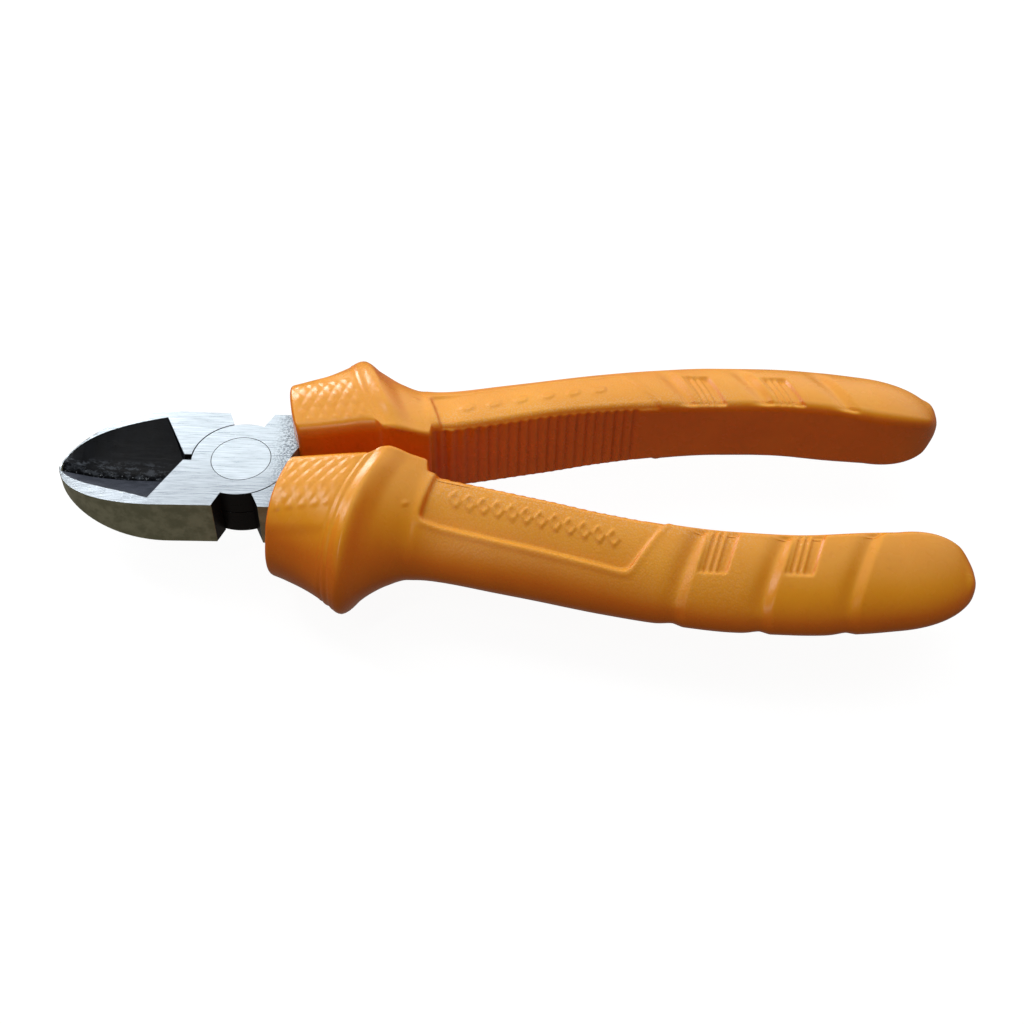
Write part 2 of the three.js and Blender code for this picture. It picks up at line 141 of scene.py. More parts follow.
def smooth_table(table, x):
    """Every column of a table at each x, on the smooth monotone curve through its rows."""
    key = table[:, 0]
    slopes = np.diff(table, axis=0) / np.diff(key)[:, None]
    before, after = slopes[:-1], slopes[1:]
    turning = before * after <= 0
    safe_sum = np.where(turning, 1, before + after)
    inner = np.where(turning, 0, 2 * before * after / safe_sum)
    tangents = np.vstack((slopes[:1], inner, slopes[-1:]))
    i = np.clip(np.searchsorted(key, x) - 1, 0, len(key) - 2)
    width = (key[i + 1] - key[i])[:, None]
    t = np.clip((x - key[i])[:, None] / width, 0, 1)
    held = 1 + t * t * (2 * t - 3)
    value = held * table[i] + (1 - held) * table[i + 1]
    value += t * (1 - t) ** 2 * width * tangents[i]
    value += t * t * (t - 1) * width * tangents[i + 1]
    return dict(zip(GRIP_COLUMNS, value.T[:, :, None]))


def half_section(row):
    """Upper half of each section, from the middle of the inner face over to the outer side."""
    wall = np.linspace(0, 1, WALL_STEPS, endpoint=False)[None, :]
    flat_end = row["inner"] + np.maximum(row["edge"], row["flat"] * (row["outer"] - row["inner"]))
    wall_y = row["inner"] + 0 * wall
    wall_z = (row["half"] - row["edge"]) * wall
    bend = np.linspace(0, pi / 2, EDGE_STEPS, endpoint=False)[None, :]
    bend_y = row["inner"] + row["edge"] * (1 - np.cos(bend))
    bend_z = row["half"] - row["edge"] * (1 - np.sin(bend))
    flat = np.linspace(0, 1, FLAT_STEPS, endpoint=False)[None, :]
    flat_start = row["inner"] + row["edge"]
    flat_y = flat_start + (flat_end - flat_start) * flat
    flat_z = row["half"] + 0 * flat
    turn = np.linspace(0, pi / 2, SIDE_STEPS + 1)[None, :]
    side_y = flat_end + (row["outer"] - flat_end) * np.sin(turn) ** (2 / row["round"])
    side_z = row["half"] * np.clip(np.cos(turn), 0, 1) ** (2 / row["round"])
    y = np.hstack((wall_y, bend_y, flat_y, side_y))
    z = np.hstack((wall_z, bend_z, flat_z, side_z))
    return y, z


def mirrored(y, z):
    """The whole closed section from its upper half."""
    y_loop = np.hstack((y, y[:, -2:0:-1]))
    z_loop = np.hstack((z, -z[:, -2:0:-1]))
    return y_loop, z_loop


def grip_rings():
    """All rings of one grip without relief: points, and the station of each ring."""
    start, last = GRIP_STATIONS[0, 0], GRIP_STATIONS[-1, 0]
    rim = FRONT_ROUND * (1 - np.cos(np.linspace(0, pi / 2, FRONT_ROUND_RINGS, endpoint=False)))
    count = int((last - start - FRONT_ROUND) / STATION_STEP)
    s = np.concatenate((start + rim, np.linspace(start + FRONT_ROUND, last, count)))
    row = smooth_table(GRIP_STATIONS, s)
    y, z = mirrored(*half_section(row))
    back = row["lean"] * LEAN_REACH * (1 - np.exp(-y / LEAN_REACH))
    body = np.stack((s[:, None] - back, y, z), axis=2)
    t = np.sin(np.linspace(0, pi / 2, END_RINGS + 1)[1:] * END_REACH)[:, None]
    shrink = (1 - t ** END_EXPONENT) ** (1 / END_EXPONENT)
    middle = (GRIP_STATIONS[-1, 2] + GRIP_STATIONS[-1, 3]) / 2
    half_width = (GRIP_STATIONS[-1, 3] - GRIP_STATIONS[-1, 2]) / 2
    from_middle = y[-1] - middle
    powers = np.abs(from_middle / half_width) ** END_SECTION_EXPONENT
    powers = powers + np.abs(z[-1] / GRIP_STATIONS[-1, 4]) ** END_SECTION_EXPONENT
    to_rounder = powers ** (-1 / END_SECTION_EXPONENT)
    rounding = shrink * (1 + (to_rounder - 1) * fade(t, END_SQUARING_START, 1))
    end_y = middle + (END_CENTRE_Y - middle) * t + from_middle * rounding
    end_x = last + (END_X - last) * t + 0 * end_y
    end = np.stack((end_x, end_y, z[-1] * rounding), axis=2)
    stations = np.concatenate((s, (last + (END_X - last) * t)[:, 0]))
    return np.concatenate((body, end)), stations[:, None]


def ring_normals(points):
    """The outward unit normal at every point of the rings."""
    along = np.gradient(points, axis=0)
    around = np.roll(points, -1, axis=1) - np.roll(points, 1, axis=1)
    normals = np.cross(along, around)
    length = np.linalg.norm(normals, axis=2, keepdims=True)
    return normals / np.maximum(length, 1e-9)


# ---- grip: the moulded relief -------------------------------------------------------

RIB_START, RIB_END, RIB_PITCH, RIB_DEPTH = 39.9, 79.7, 1.95, 0.8
PYRAMID_PITCH_X, PYRAMID_PITCH_Y, PYRAMID_HEIGHT = 2.75, 4.7, 0.14
GROOVE_WIDTH, GROOVE_DEPTH, GROOVE_PITCH = 0.3, 0.18, 1.4
FLANGE_WIDTH, FLANGE_CREST, FLANGE_FALL, FLANGE_HEIGHT = 1.5, 3.5, 5.0, 1.0
FLANGE_INNER_SHARE = 0.45     # of the flange's height, at the guard's inner edge
PYRAMID_PLACE = (12.9, 17.0)  # station and y of one corner between four pyramids
PYRAMID_START_S = (13.4, 14.2)
PYRAMID_INNER_Y, PYRAMID_OUTER_Y = (5.2, 6.2), (17.2, 17.7)
CREASE_PLACE, CREASE_SLOPE, CREASE_DEPTH = (7.9, 19.9), 0.165, 0.2
FAR_SHIFT = 1.0               # the far grip's guard lines lie this much further back
SIDE_SHARE = 0.5              # of a relief's height that is lost on the outer side
DOT_PLACE, DOT_HEIGHT = (33.9, 14.5), 0.2     # the mould's dot behind the flange
PANEL_FRONT_PLACE, PANEL_FRONT_NORMAL = (38.4, 10.2), (0.96, 0.28)
PANEL_OUTER_PLACE, PANEL_OUTER_SLOPE = (37, 17.3), 0.2545
PANEL_REAR_PLACE, PANEL_REAR_SLOPE = (82.7, 17.9), 0.69
PANEL_OUTER_SQUARE, PANEL_REAR_SQUARE = 0.969, 0.823    # cosines of those slopes' angles
PANEL_CORNER = 0.55           # how round the panel's corners are
PANEL_DEPTH = 0.25
PANEL_TILT_NEAR, PANEL_TILT_FAR = 0.75, 0.1   # further depth at the outer wall, on each grip
PANEL_FRONT_DEPTH = 0.7
LIP_HEIGHT = 0.12             # of the raised lip round the panel
ROW_SLOPE = 0.265             # the rows of marks run along the panel at this slope
LOZENGE_COUNT, LOZENGE_PITCH, LOZENGE_HEIGHT = 12, 2.75, 0.3
LOZENGE_PLACE, LOZENGE_HALF_SIZE = (43.3, 12.4), (1.25, 2.1)
DISC_COUNT, DISC_PITCH, DISC_HEIGHT = 6, 5.4, 0.22
DISC_PLACE, DISC_RADIUS = (44.5, 13.4), (1.2, 1.6)
FINGER_PITCH = 16.15
FINGER_DEPTHS = (0.95, 0.95, 0.8)
FINGER_FRONT_WIDTH, FINGER_REAR_WIDTH = 2.2, 1.8
BAR_PITCH, BAR_DEPTH, BAR_HEIGHT = 1.3, 0.75, 0.5
BAR_FRONT_PLACE, BAR_FRONT_SLOPE = (91.3, 19.6), 0.3
BAR_REAR_PLACE, BAR_REAR_SLOPE = (97.0, 19.8), 0.34
BAR_OUTER_Y = 27.2
BAR_LAST_X = (4.0, 4.4)       # the bars stop this far behind the field's front edge


def fade(value, low, high):
    """0 below low, 1 above high, smooth between."""
    t = np.clip((value - low) / (high - low), 0, 1)
    return t * t * (3 - 2 * t)


def guard_line(y):
    """x of the first thin groove across the guard."""
    return 18.6 + 0.043 * np.maximum(29 - y, 0) ** 1.6


def finger_line(y):
    """x of the first finger groove."""
    return 85 + 0.19 * np.maximum(33 - y, 0) ** 1.25


def guard_relief(s, t, x, y, z, around, upper, outer_side):
    """Two thin grooves and a raised flange across the guard, and pyramids in front of them."""
    relief = -GROOVE_DEPTH * np.exp(-(t / GROOVE_WIDTH) ** 2)
    relief -= GROOVE_DEPTH * np.exp(-((t - GROOVE_PITCH) / GROOVE_WIDTH) ** 2)
    crest = FLANGE_CREST + 0.3 * fade(y, 20, 31)
    rise = np.clip((t - crest) / FLANGE_WIDTH + 1, 0, 1)
    flange = rise * (1 - fade(t, crest, crest + FLANGE_FALL))
    lower_inside = FLANGE_INNER_SHARE + (1 - FLANGE_INNER_SHARE) * fade(y, 3, 9)
    relief += FLANGE_HEIGHT * flange * (1 - SIDE_SHARE * outer_side) * lower_inside
    relief *= around
    block = (1 - fade(t, -1.2, -0.6)) * fade(s, *PYRAMID_START_S)
    along = (s - PYRAMID_PLACE[0]) / PYRAMID_PITCH_X
    across = (y - PYRAMID_PLACE[1]) / PYRAMID_PITCH_Y
    bumps = np.abs(np.sin(pi * (along + across)) * np.sin(pi * (along - across)))
    field = fade(y, *PYRAMID_INNER_Y) * (1 - fade(y, *PYRAMID_OUTER_Y))
    relief += PYRAMID_HEIGHT * bumps * block * upper * field
    crease = y - CREASE_PLACE[1] - CREASE_SLOPE * (x - CREASE_PLACE[0])
    side = fade(crease, -0.9, 1.5) * fade(np.abs(z), 0.5, 5.5) * (1 - fade(t, -0.8, -0.2))
    return relief - CREASE_DEPTH * side


def panel_relief(x, y, z, upper, tilt):
    """The sunk panel on the broad face, with a row of plain raised marks in it."""
    outer_wall = PANEL_OUTER_PLACE[1] + PANEL_OUTER_SLOPE * (x - PANEL_OUTER_PLACE[0])
    rear_wall = PANEL_REAR_PLACE[0] - PANEL_REAR_SLOPE * (y - PANEL_REAR_PLACE[1])
    # distances outside each of the three walls
    front = -((x - PANEL_FRONT_PLACE[0]) * PANEL_FRONT_NORMAL[0]
              + (y - PANEL_FRONT_PLACE[1]) * PANEL_FRONT_NORMAL[1])
    outer = (y - outer_wall) * PANEL_OUTER_SQUARE
    rear = (x - rear_wall) * PANEL_REAR_SQUARE
    walls = np.stack((front, outer, rear))
    edge = PANEL_CORNER * np.log(np.sum(np.exp(walls / PANEL_CORNER), axis=0))
    inside = 1 - fade(edge, -0.55, 0.05)
    inner = np.interp(x, GRIP_STATIONS[:, 0], GRIP_STATIONS[:, 2])
    across = np.clip((y - inner) / np.maximum(outer_wall - inner, 1), 0, 1)
    depth = np.maximum(PANEL_DEPTH + tilt * across, PANEL_FRONT_DEPTH * (1 - fade(x, 38, 47)))
    relief = -depth * inside * upper
    lip = fade(edge, 0.0, 0.3) * (1 - fade(edge, 0.5, 1.5))
    relief += LIP_HEIGHT * lip * upper * fade(x, 36, 37) * (1 - fade(x, 84, 86))
    relief += np.where(z < 0, lozenge_row(x, y), disc_row(x, y)) * upper
    return relief


def lozenge_row(x, y):
    """Raised outlines of small lozenges along the middle of the panel."""
    along = x - LOZENGE_PLACE[0]
    centre_y = LOZENGE_PLACE[1] + ROW_SLOPE * along
    index = np.clip(np.round(along / LOZENGE_PITCH), 0, LOZENGE_COUNT - 1)
    across_x = np.abs(along - index * LOZENGE_PITCH) / LOZENGE_HALF_SIZE[0]
    across_y = np.abs(y - centre_y) / LOZENGE_HALF_SIZE[1]
    ring = np.abs(across_x + across_y - 0.8)
    return LOZENGE_HEIGHT * (1 - fade(ring, 0.08, 0.3))


def disc_row(x, y):
    """Low round buttons along the middle of the panel."""
    along = x - DISC_PLACE[0]
    centre_y = DISC_PLACE[1] + ROW_SLOPE * along
    index = np.clip(np.round(along / DISC_PITCH), 0, DISC_COUNT - 1)
    radius = np.hypot(along - index * DISC_PITCH, y - centre_y)
    return DISC_HEIGHT * (1 - fade(radius, *DISC_RADIUS))


def rib_relief(s, inward):
    """Narrow valleys between the ribs across the inner side."""
    zone = fade(s, RIB_START - 0.3, RIB_START + 0.1) * (1 - fade(s, RIB_END, RIB_END + 0.4))
    valleys = 1 - np.abs(np.sin(pi * (s - RIB_START) / RIB_PITCH))
    return -RIB_DEPTH * valleys * zone * inward


def finger_relief(x, y, around, upper, outer_side):
    """Three slanted grooves round the handle, and two sunk fields of bars between them."""
    relief = 0 * x
    for k, depth in enumerate(FINGER_DEPTHS):
        t = x - finger_line(y) - k * FINGER_PITCH
        falling = np.exp(-(np.minimum(t, 0) / FINGER_FRONT_WIDTH) ** 2)
        rising = 1 - np.clip(t / FINGER_REAR_WIDTH, 0, 1)
        relief -= depth * falling * rising * around * (1 - SIDE_SHARE * outer_side)
    front_edge = BAR_FRONT_PLACE[0] - BAR_FRONT_SLOPE * (y - BAR_FRONT_PLACE[1])
    rear_edge = BAR_REAR_PLACE[0] - BAR_REAR_SLOPE * (y - BAR_REAR_PLACE[1])
    for k in range(len(FINGER_DEPTHS) - 1):
        behind_front = x - k * FINGER_PITCH - front_edge
        before_rear = rear_edge - (x - k * FINGER_PITCH)
        sunk = fade(behind_front, -0.1, 0.5) * fade(before_rear, -0.1, 0.4)
        sunk = sunk * fade(BAR_OUTER_Y - y, -0.1, 0.4)
        bars = 0.5 - 0.5 * np.cos(2 * pi * behind_front / BAR_PITCH)
        raised = BAR_HEIGHT * bars * (1 - fade(behind_front, *BAR_LAST_X))
        relief += (raised - BAR_DEPTH) * sunk * upper
    return relief


def grip_relief(points, normals, s, wraps):
    """How far each point of a grip stands out of the plain section. The grooves of one grip
    wrap round its outer side, and those of the other die away on the broad face. Which face
    a point is on comes from its normal: ny is -1 on the inner side and 1 on the outer."""
    x, y, z = np.moveaxis(points, 2, 0)
    ny, nz = normals[:, :, 1], np.abs(normals[:, :, 2])
    outer_side = fade(ny, 0.3, 0.75)
    around = fade(ny, -0.97, -0.8)
    if not wraps:
        around = around * (1 - fade(ny, 0.3, 0.62))
    upper = fade(nz, 0.25, 0.5) * around
    inward = fade(-ny, 0.86, 0.97)
    into_rim = np.clip(FRONT_ROUND - (s - GRIP_STATIONS[0, 0]), 0, FRONT_ROUND)
    relief = -(FRONT_ROUND - np.sqrt(FRONT_ROUND ** 2 - into_rim ** 2)) + 0 * x
    t = x - guard_line(y) - (0 if wraps else FAR_SHIFT)
    relief = relief + guard_relief(s, t, x, y, z, around, upper, outer_side)
    tilt = PANEL_TILT_NEAR if wraps else PANEL_TILT_FAR
    relief = relief + panel_relief(x, y, z, upper, tilt)
    relief = relief + rib_relief(s, inward)
    clear_of_inner = fade(ny, -0.8, -0.45)
    relief = relief + finger_relief(x, y, around * clear_of_inner, upper * clear_of_inner,
                                    outer_side)
    dot = np.hypot(x - DOT_PLACE[0], y - DOT_PLACE[1])
    return relief + DOT_HEIGHT * (1 - fade(dot, 0.3, 0.6)) * upper


def ring_faces(rings, count):
    """Quads between neighbouring rings, and strips that close both ends, all facing out."""
    ring, j = np.meshgrid(np.arange(rings - 1), np.arange(count), indexing="ij")
    here = ring * count + j
    beside = ring * count + (j + 1) % count
    sides = np.stack((here, here + count, beside + count, beside), axis=2).reshape(-1, 4)
    half = count // 2
    k = np.arange(1, half - 1)
    strips = np.stack((k, k + 1, count - k - 1, count - k), axis=1).tolist()
    front = strips + [[0, 1, count - 1], [half - 1, half, half + 1]]
    last = (rings - 1) * count
    rear = [[last + corner for corner in reversed(face)] for face in front]
    return sides.tolist() + front + rear


def make_grip(name, turned_over, material, body, node):
    """One moulded grip in place of its plain CAD node."""
    points, stations = grip_rings()
    normals = ring_normals(points)
    points = points + normals * grip_relief(points, normals, stations, turned_over)[:, :, None]
    if turned_over:
        points = points * np.array((1, -1, -1))
    points = points * MM + np.array((0, 0, MID_Z))
    mesh = bpy.data.meshes.new(name)
    mesh.from_pydata(points.reshape(-1, 3).tolist(), [], ring_faces(*points.shape[:2]))
    mesh.validate()
    mesh.polygons.foreach_set("use_smooth", [True] * len(mesh.polygons))
    mesh.update()
    grip = bpy.data.objects.new(name, mesh)
    bpy.context.scene.collection.objects.link(grip)
    mesh.materials.append(material)
    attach(grip, body)
    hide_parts(node)


# ---- materials ----------------------------------------------------------------------


class Nodes:
    """A short way to write a node material."""

    def __init__(self, name):
        self.material = bpy.data.materials.new(name)
        self.material.use_nodes = True
        self.tree = self.material.node_tree
        self.shader = self.tree.nodes["Principled BSDF"]

    def add(self, kind, inputs=None, **settings):
        node = self.tree.nodes.new(kind)
        for key, value in settings.items():
            setattr(node, key, value)
        for key, value in (inputs or {}).items():
            self.set(node.inputs[key], value)
        return node

    def set(self, socket, value):
        if isinstance(value, bpy.types.NodeSocket):
            self.tree.links.new(value, socket)
        else:
            socket.default_value = value

    def math(self, operation, a, b=0.0, c=0.0, clamp=False):
        node = self.add("ShaderNodeMath", {0: a, 1: b, 2: c}, operation=operation, use_clamp=clamp)
        return node.outputs[0]

    def ramp(self, value, low, high, out_low=0.0, out_high=1.0):
        """value from low..high spread over out_low..out_high, smoothly and clamped."""
        inputs = {0: value, 1: low, 2: high, 3: out_low, 4: out_high}
        node = self.add("ShaderNodeMapRange", inputs, interpolation_type="SMOOTHSTEP")
        return node.outputs[0]

    def mix(self, factor, a, b):
        node = self.add("ShaderNodeMix", data_type="RGBA")
        self.set(node.inputs[0], factor)
        self.set(node.inputs[6], a)
        self.set(node.inputs[7], b)
        return node.outputs[2]

    def noise(self, where, scale, detail=3.0, rough=0.5):
        inputs = {"Vector": where, "Scale": scale, "Detail": detail, "Roughness": rough}
        return self.add("ShaderNodeTexNoise", inputs).outputs["Fac"]

    def stretched(self, where, scale):
        return self.add("ShaderNodeMapping", {"Vector": where, "Scale": scale}).outputs[0]

    def bump(self, height, strength, distance, normal=None):
        inputs = {"Height": height, "Strength": strength, "Distance": distance}
        if normal is not None:
            inputs["Normal"] = normal
        return self.add("ShaderNodeBump", inputs).outputs[0]


def colour(red, green, blue):
    """An sRGB colour given as 0..255, in the linear values that nodes take."""
    linear = []
    for value in (red, green, blue):
        v = value / 255
        linear.append(v / 12.92 if v <= 0.04045 else ((v + 0.055) / 1.055) ** 2.4)
    return (*linear, 1)


GRAIN_FRONT_X, GRAIN_REAR_X = (36, 39), (96, 104)   # the panel's grain fades in and out here
PANEL_EDGE_SLOPE = 0.17            # of the grips' inner edge beside the panel
SHEEN_REACH = (3.5, 6.5)          # the painted sheen on the grain fades this far out from that edge's line
SHEEN_MOST, SHEEN_LEAST = 0.5, 0.16


def moulded_orange():
    """Soft PVC: warm orange, with painted shade that makes the sides deeper and redder than the
    broad faces, and a moulded grain on the panel that carries a painted pale sheen near the inner
    edge.
    """
    n = Nodes("moulded_orange")
    coordinates = n.add("ShaderNodeTexCoord")
    where = coordinates.outputs["Object"]
    place = n.add("ShaderNodeSeparateXYZ", {0: where})
    turn = n.add("ShaderNodeSeparateXYZ", {0: coordinates.outputs["Normal"]})
    x = place.outputs[0]
    cloud = n.ramp(n.noise(where, 60, 4), 0.35, 0.7)
    broad = n.mix(cloud, colour(232, 152, 20), colour(238, 160, 28))
    # painted shade: the sides get a deeper, redder copy of the orange, standing in for the shade
    # and warm bounce light on them
    upright_painted_shade = n.mix(cloud, colour(224, 112, 16), colour(232, 120, 20))
    facing_up = n.ramp(n.math("ABSOLUTE", turn.outputs[2]), 0.52, 1.0)
    base = n.mix(facing_up, upright_painted_shade, broad)
    speck = n.noise(where, 900, 2)
    base = n.mix(n.ramp(speck, 0.55, 0.8, 0, 0.2), base, colour(206, 118, 14))
    behind_front = n.ramp(x, GRAIN_FRONT_X[0] * MM, GRAIN_FRONT_X[1] * MM)
    before_rear = n.ramp(x, GRAIN_REAR_X[1] * MM, GRAIN_REAR_X[0] * MM)
    on_panel = n.math("MULTIPLY", behind_front, before_rear)
    grain_zone = n.math("MULTIPLY", on_panel, facing_up)
    grain_cells = n.add("ShaderNodeTexVoronoi", {"Vector": where, "Scale": 2300.0})
    cells = grain_cells.outputs["Distance"]
    beside = n.math("ABSOLUTE", place.outputs[1])
    past_inner_edge = n.math("MULTIPLY_ADD", x, -PANEL_EDGE_SLOPE, beside)
    near, far = SHEEN_REACH
    most = n.ramp(past_inner_edge, far * MM, near * MM, SHEEN_LEAST, SHEEN_MOST)
    # painted sheen: a pale colour on the grain cells, strongest near the inner edge, standing in
    # for light reflected off the grain
    painted_sheen = n.math("MULTIPLY", n.math("MULTIPLY", n.ramp(cells, 0.6, 0.2), most), grain_zone)
    n.set(n.shader.inputs["Base Color"], n.mix(painted_sheen, base, colour(236, 186, 128)))
    rough = n.ramp(n.noise(where, 250, 3), 0.3, 0.7, 0.23, 0.30)
    n.set(n.shader.inputs["Roughness"], n.math("MULTIPLY_ADD", grain_zone, 0.17, rough))
    fine = n.bump(n.noise(where, 2200, 2), 0.12, 0.00005)
    grain = n.math("MULTIPLY", cells, grain_zone)
    n.set(n.shader.inputs["Normal"], n.bump(grain, 0.4, 0.0001, fine))
    n.shader.inputs["Subsurface Weight"].default_value = 0.1
    n.shader.inputs["Subsurface Radius"].default_value = (1.0, 0.25, 0.05)
    n.shader.inputs["Subsurface Scale"].default_value = 0.0015
    n.shader.inputs["Specular IOR Level"].default_value = 0.34
    return n.material


HOLLOW_CORNER = (-16.7, 11.3)      # the ground hollow's widest point
HOLLOW_TIP_X = -36.6
HOLLOW_TAPER = (0.62, 0.40)        # share of its width lost on the way to the tip: near, far
HOLLOW_NOSE_POWER = 5              # how late each side rounds in to the tip
HOLLOW_REAR = (-11.5, 0.8)         # where its rear wall meets the slot behind the edges
HOLLOW_FLOOR_Z = -2.6              # from the mid-plane; nothing below it is in the hollow
HOLLOW_RIM = (-0.02, 0.06)         # the dark scale comes in over this width at the rim
MIDLINE_BLEND = 0.1                # the near outline gives way to the far one over this width
HOLLOW_REAR_OVERLAP = 0.1          # the dark scale runs this far over its rear wall
HEAD_SIDE_Y = (12.6, 12.8)         # the head's outer sides begin here
NOTCH_FRONT_X, NOTCH_REAR_X = -12.4, 6.6      # the walls between these are painted black, for oil and for the shade deep in the joint
NOTCH_FADE = 0.3
TANG_START_X, TANG_FULL_X = 4.5, 9.5          # the flecks of scale come in between these
KEEN_Y = (-10, 6)                  # the far jaw's brighter grinding comes in between these
BEVEL_PARTING_Y = (-1.1, -0.7)     # the near bevel gives way to the far one between these
FLAKED_Y = (1.8, 3.4)              # the flaked strip along the cutting edge fades out here
CHIPPED_FROM_Y, CHIPPED_TO_Y = (-1.4, -0.6), (0.4, 1.4)     # the bright chips lie between these


def hollow_mask(n, x, side_y, z):
    """1 inside the ground hollow, 0 outside it."""
    y = n.math("ABSOLUTE", side_y)
    run = n.math("MULTIPLY_ADD", x, 1 / (HOLLOW_TIP_X - HOLLOW_CORNER[0]) / MM,
                 HOLLOW_CORNER[0] / (HOLLOW_CORNER[0] - HOLLOW_TIP_X), clamp=True)
    taper = n.ramp(side_y, -MIDLINE_BLEND * MM, MIDLINE_BLEND * MM, *HOLLOW_TAPER)
    narrowed = n.math("SUBTRACT", 1.0, n.math("MULTIPLY", taper, run))
    rounded = n.math("SQRT", n.math("SUBTRACT", 1.0, n.math("POWER", run, HOLLOW_NOSE_POWER)))
    half = n.math("MULTIPLY", n.math("MULTIPLY", narrowed, rounded), HOLLOW_CORNER[1] * MM)
    beside = n.math("SUBTRACT", half, y)
    slope = (HOLLOW_CORNER[0] - HOLLOW_REAR[0]) / (HOLLOW_CORNER[1] - HOLLOW_REAR[1])
    wall = n.math("MULTIPLY_ADD", y, slope, (HOLLOW_REAR[0] - slope * HOLLOW_REAR[1]) * MM)
    behind = n.math("ADD", n.math("SUBTRACT", wall, x), HOLLOW_REAR_OVERLAP * MM)
    floor = n.math("SUBTRACT", z, MID_Z + HOLLOW_FLOOR_Z * MM)
    depth = n.math("MINIMUM", n.math("MINIMUM", beside, behind), floor)
    return n.ramp(depth, HOLLOW_RIM[0] * MM, HOLLOW_RIM[1] * MM)


def ground_face(n, where, x, side_y, lift):
    """Bright ground steel with fine lengthwise brushing, speckled with scale on the tang.
    The far jaw is ground a little brighter; lift brightens the whole face."""
    brushing = n.noise(n.stretched(where, (170, 5200, 600)), 1.0, 5, 0.65)
    scratch = n.noise(n.stretched(where, (420, 12000, 900)), 1.0, 2, 0.6)
    dull = n.mix(n.ramp(brushing, 0.3, 0.7), colour(140, 148, 156), colour(174, 182, 189))
    keen = n.mix(n.ramp(brushing, 0.3, 0.7), colour(162, 172, 180), colour(197, 207, 214))
    face = n.mix(n.ramp(side_y, KEEN_Y[0] * MM, KEEN_Y[1] * MM, lift, 1), dull, keen)
    face = n.mix(n.ramp(scratch, 0.55, 0.75, 0, 0.4), face, colour(138, 146, 153))
    flecks = n.ramp(n.noise(where, 2600, 4, 0.7), 0.44, 0.58)
    on_tang = n.math("MULTIPLY", n.ramp(x, TANG_START_X * MM, TANG_FULL_X * MM), flecks)
    return n.mix(n.math("MULTIPLY", on_tang, 0.85), face, colour(80, 88, 96)), brushing


def hollow_face(n, where, y):
    """Blue-black scale in the hollow: paler on one bevel and flaked along the cutting edges."""
    blotch = n.ramp(n.noise(where, 420, 4, 0.6), 0.35, 0.7)
    far = n.mix(blotch, colour(7, 10, 14), colour(14, 18, 24))
    near = n.mix(blotch, colour(52, 56, 65), colour(68, 72, 82))
    flakes = n.ramp(n.noise(n.stretched(where, (500, 1300, 500)), 1.0, 5, 0.7), 0.47, 0.6)
    strip = n.math("MULTIPLY", n.ramp(y, FLAKED_Y[1] * MM, FLAKED_Y[0] * MM), flakes)
    far = n.mix(n.math("MULTIPLY", strip, 0.8), far, colour(84, 90, 98))
    chips = n.ramp(n.noise(where, 1900, 3, 0.7), 0.6, 0.68)
    from_near = n.ramp(y, CHIPPED_FROM_Y[0] * MM, CHIPPED_FROM_Y[1] * MM)
    to_far = n.ramp(y, CHIPPED_TO_Y[1] * MM, CHIPPED_TO_Y[0] * MM)
    beside_edge = n.math("MULTIPLY", from_near, to_far)
    far = n.mix(n.math("MULTIPLY", beside_edge, chips), far, colour(190, 198, 204))
    on_far = n.ramp(y, BEVEL_PARTING_Y[0] * MM, BEVEL_PARTING_Y[1] * MM)
    return n.mix(on_far, near, far)


def steel(name, lift):
    """Ground bright on the flat faces, dark in the ground hollow, olive scale on the sides."""
    n = Nodes(name)
    where = n.add("ShaderNodeTexCoord").outputs["Object"]
    place = n.add("ShaderNodeSeparateXYZ", {0: where})
    x, side_y, z = place.outputs[0], place.outputs[1], place.outputs[2]
    turn = n.add("ShaderNodeSeparateXYZ", {0: n.add("ShaderNodeNewGeometry").outputs["Normal"]})
    level = n.ramp(n.math("ABSOLUTE", turn.outputs[2]), 0.8, 0.9)
    hollow = hollow_mask(n, x, side_y, z)
    bright, brushing = ground_face(n, where, x, side_y, lift)
    blotch = n.noise(where, 420, 4, 0.6)
    scale = n.mix(n.ramp(blotch, 0.35, 0.65), colour(134, 134, 108), colour(162, 161, 134))
    from_front = n.ramp(x, NOTCH_FRONT_X * MM, (NOTCH_FRONT_X + NOTCH_FADE) * MM)
    to_rear = n.ramp(x, (NOTCH_REAR_X + NOTCH_FADE) * MM, NOTCH_REAR_X * MM)
    off_side = n.ramp(n.math("ABSOLUTE", side_y), HEAD_SIDE_Y[1] * MM, HEAD_SIDE_Y[0] * MM)
    notch_oil_and_shade = n.math("MULTIPLY", n.math("MULTIPLY", from_front, to_rear), off_side)
    # black on the recessed walls between the halves: oil, and painted shade deep in the joint
    scale = n.mix(notch_oil_and_shade, scale, colour(26, 24, 24))
    base = n.mix(level, scale, bright)
    base = n.mix(hollow, base, hollow_face(n, where, side_y))
    ground = n.math("MULTIPLY", level, n.math("SUBTRACT", 1.0, hollow))
    n.set(n.shader.inputs["Base Color"], base)
    n.set(n.shader.inputs["Roughness"], n.ramp(brushing, 0.3, 0.7, 0.26, 0.38))
    n.set(n.shader.inputs["Metallic"], n.ramp(ground, 0, 1, 0.0, 1.0))
    n.shader.inputs["Specular IOR Level"].default_value = 0.12
    n.set(n.shader.inputs["Normal"], n.bump(brushing, 0.25, 0.00004))
    return n.material


FORGED_BEVEL, RIVET_BEVEL = 0.18, 0.08        # width of the broken edges
SHARP_ANGLE = 28                   # degrees between faces, from which an edge is broken
WELD_DISTANCE = 0.01


